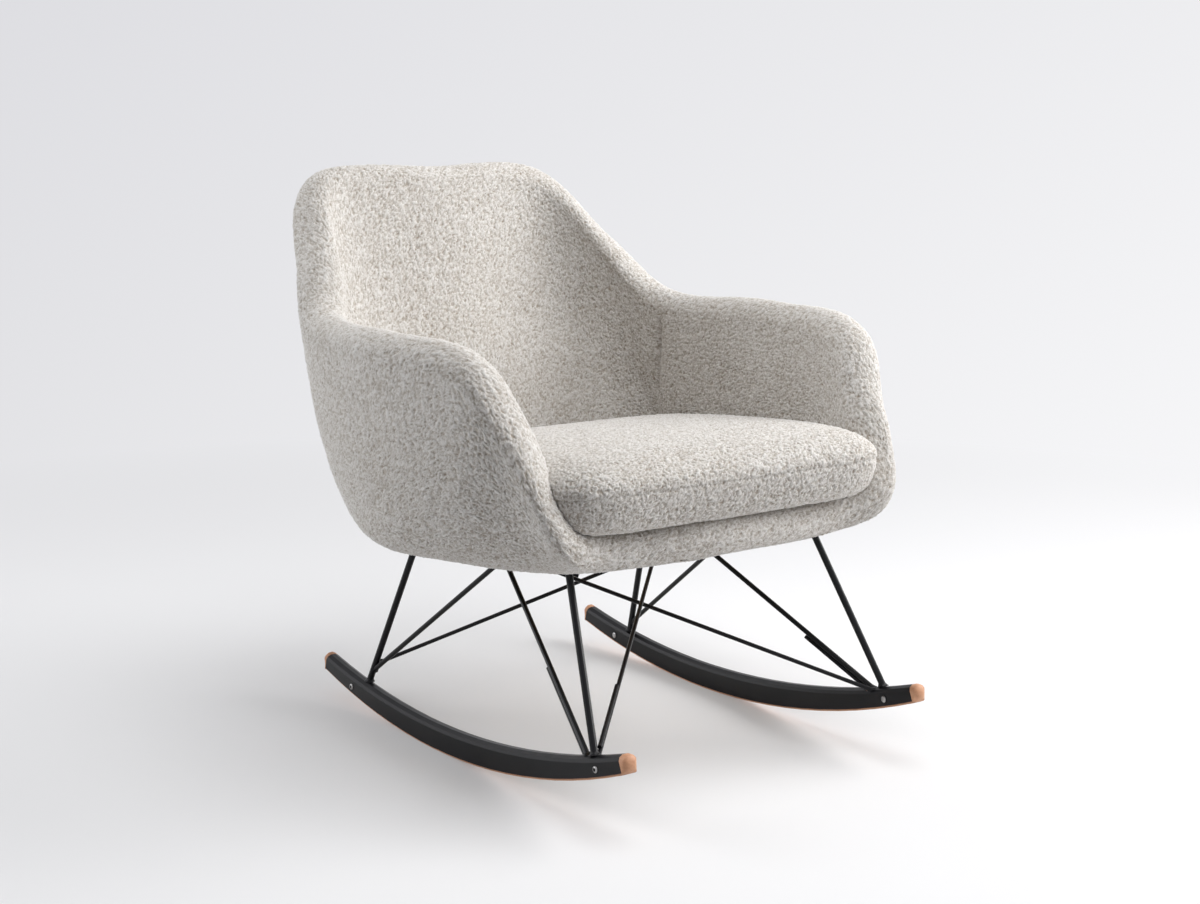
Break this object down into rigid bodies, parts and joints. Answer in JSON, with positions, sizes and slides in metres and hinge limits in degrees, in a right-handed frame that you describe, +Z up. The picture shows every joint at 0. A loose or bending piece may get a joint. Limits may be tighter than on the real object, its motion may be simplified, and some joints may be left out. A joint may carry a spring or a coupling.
{
  "type": "upholstered rocking chair",
  "caption": "Rocking armchair with a curly-pile upholstered bucket seat, a loose seat cushion, a black steel rod base and curved rockers with wooden runners.",
  "frame": {"origin": "on the floor, below the middle of the whole chair's bounding box", "axes": "+Z up, -Y the way the sitter faces, +X towards the sitter's left"},
  "size_m": [0.6962, 0.8566, 0.756],
  "materials": {
    "cover": "curly pile over foam",
    "cushion_cover": "curly pile over foam",
    "shell_board": "matte",
    "plywood": "raw",
    "black_steel": "satin",
    "beech": "satin lacquer",
    "zinc": "bright zinc"
  },
  "bodies": {
    "chair": {"outer_upholstery": "cover", "inner_upholstery": "cover", "bucket_shell": "shell_board", "base_panel": "plywood", "frame_side_rail_right": "black_steel", "frame_side_rail_left": "black_steel", "frame_cross_rail_front": "black_steel", "frame_cross_rail_rear": "black_steel", "rear_leg_right": "black_steel", "rear_leg_left": "black_steel", "front_leg_right": "black_steel", "front_leg_left": "black_steel", "rear_side_brace_right": "black_steel", "rear_side_brace_left": "black_steel", "front_side_brace_right": "black_steel", "front_side_brace_left": "black_steel", "cross_brace_rear": "black_steel", "cross_brace_right_foot": "black_steel", "cross_brace_left_foot": "black_steel", "doubler_front_right": "black_steel", "doubler_front_left": "black_steel", "doubler_cross_foot": "black_steel", "doubler_cross_top": "black_steel", "rocker_channel_right": "black_steel", "rocker_channel_left": "black_steel", "frame_bolt_1": "zinc", "frame_bolt_2": "zinc", "frame_bolt_3": "zinc", "frame_bolt_4": "zinc", "tee_nut_1": "zinc", "tee_nut_2": "zinc", "tee_nut_3": "zinc", "tee_nut_4": "zinc", "sleeve_bolt_rear_right": "zinc", "sleeve_nut_rear_right": "zinc", "sleeve_bolt_front_right": "zinc", "sleeve_nut_front_right": "zinc", "sleeve_bolt_rear_left": "zinc", "sleeve_nut_rear_left": "zinc", "sleeve_bolt_front_left": "zinc", "sleeve_nut_front_left": "zinc", "wooden_runner_right": "beech", "wooden_runner_left": "beech"},
    "cushion": {"seat_cushion": "cushion_cover"}
  },
  "joints": [
    {"name": "cushion_lift", "type": "slide", "parent": "chair", "child": "cushion", "axis": [0, 0, 1], "range_m": [0, 0.25]}
  ]
}
